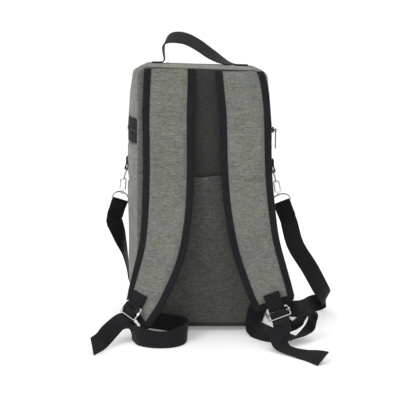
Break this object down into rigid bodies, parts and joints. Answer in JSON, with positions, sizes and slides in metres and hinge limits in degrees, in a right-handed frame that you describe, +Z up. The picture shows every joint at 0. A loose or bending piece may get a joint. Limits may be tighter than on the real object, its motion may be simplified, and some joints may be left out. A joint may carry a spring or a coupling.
{
  "type": "backpack",
  "caption": "Boxy padded backpack of grey cloth with bound shoulder straps, webbing grab handle, wire buckles and a clip-on carrying strap.",
  "frame": {"origin": "middle of the bag's foot, on the surface that it stands on", "axes": "+Z up, +Y out of the bag's front, so the shoulder straps face -Y, and +X to the right as seen from the straps' side"},
  "size_m": [0.3922, 0.3842, 0.4811],
  "materials": {
    "grey_cloth": "heathered woven polyester, matte",
    "binding_tape": "fine ribbed grosgrain tape, matte",
    "black_webbing": "woven webbing, slight sheen",
    "nickel_wire": "polished nickel plate on steel wire",
    "zip_plastic": "moulded, satin",
    "black_slider": "black lacquer, satin"
  },
  "bodies": {
    "bag": {"back_panel": "grey_cloth", "back_pocket": "grey_cloth", "front_panel_lower": "grey_cloth", "front_panel_lid": "grey_cloth", "gusset_lower": "grey_cloth", "gusset_lid": "grey_cloth", "zip_tape_lower": "binding_tape", "zip_tape_upper": "binding_tape", "zip_coil": "zip_plastic", "zip_slider": "black_slider", "grab_handle": "black_webbing", "shoulder_strap_left": "grey_cloth", "shoulder_strap_right": "grey_cloth", "strap_binding_left": "binding_tape", "strap_binding_right": "binding_tape", "buckle_frame_left": "nickel_wire", "buckle_frame_right": "nickel_wire", "buckle_bar_left": "nickel_wire", "buckle_bar_right": "nickel_wire", "buckle_tab_left": "black_webbing", "buckle_tab_right": "black_webbing", "adjuster_web_left": "black_webbing", "adjuster_web_right": "black_webbing", "side_ring_left": "nickel_wire", "side_ring_right": "nickel_wire", "side_tab_left": "black_webbing", "side_tab_right": "black_webbing", "snap_hook_left": "nickel_wire", "snap_hook_right": "nickel_wire", "strap_loop_left": "nickel_wire", "strap_loop_right": "nickel_wire", "carrying_strap": "black_webbing"},
    "zip_pull": {"pull_ring": "black_slider", "pull_tab": "zip_plastic"},
    "gate_left": {"hook_gate_left": "nickel_wire"},
    "gate_right": {"hook_gate_right": "nickel_wire"}
  },
  "joints": [
    {"name": "zip_pull_swing", "type": "hinge", "parent": "bag", "child": "zip_pull", "pos_m": [0.12552, 0, 0.32018], "axis": [0, -1, 0], "range_deg": [0, 120]},
    {"name": "gate_left_open", "type": "hinge", "parent": "bag", "child": "gate_left", "pos_m": [-0.1343, 0, 0.22308], "axis": [0, 1, 0], "range_deg": [0, 25], "stiffness_Nm_per_rad": 0.02, "springref_deg": -5.73},
    {"name": "gate_right_open", "type": "hinge", "parent": "bag", "child": "gate_right", "pos_m": [0.13509, 0, 0.21899], "axis": [0, -1, 0], "range_deg": [0, 25], "stiffness_Nm_per_rad": 0.02, "springref_deg": -5.73}
  ]
}
